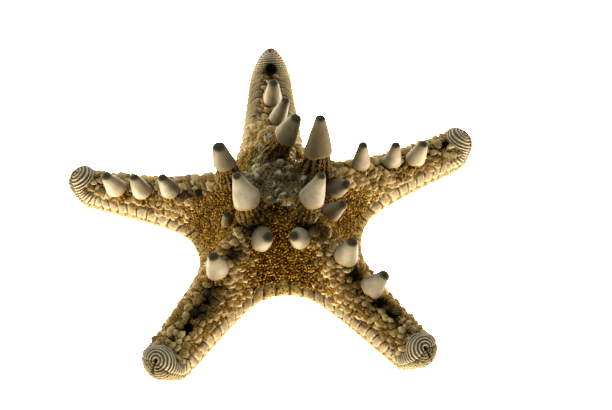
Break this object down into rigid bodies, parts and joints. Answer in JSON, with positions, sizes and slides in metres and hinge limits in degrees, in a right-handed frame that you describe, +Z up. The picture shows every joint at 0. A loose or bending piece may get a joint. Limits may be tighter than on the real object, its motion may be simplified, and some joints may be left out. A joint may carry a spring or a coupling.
{
  "type": "dried starfish",
  "caption": "Dried horned sea star: blunt tapering arms round a raised disc, conical horns on the disc and ridges, lying on its flat grooved underside.",
  "frame": {"origin": "on the resting plane, below the middle of the outline's bounding box", "axes": "+Z up, away from the flat underside; +X to the viewer's right; +Y away from the viewer, towards the end of the back arm"},
  "size_m": [0.1526, 0.1518, 0.0494],
  "materials": {
    "starfish": "dry, rough and chalky: ochre granules between pale grey-cream plates and horns"
  },
  "bodies": {
    "root": {"starfish": "starfish"}
  },
  "joints": []
}
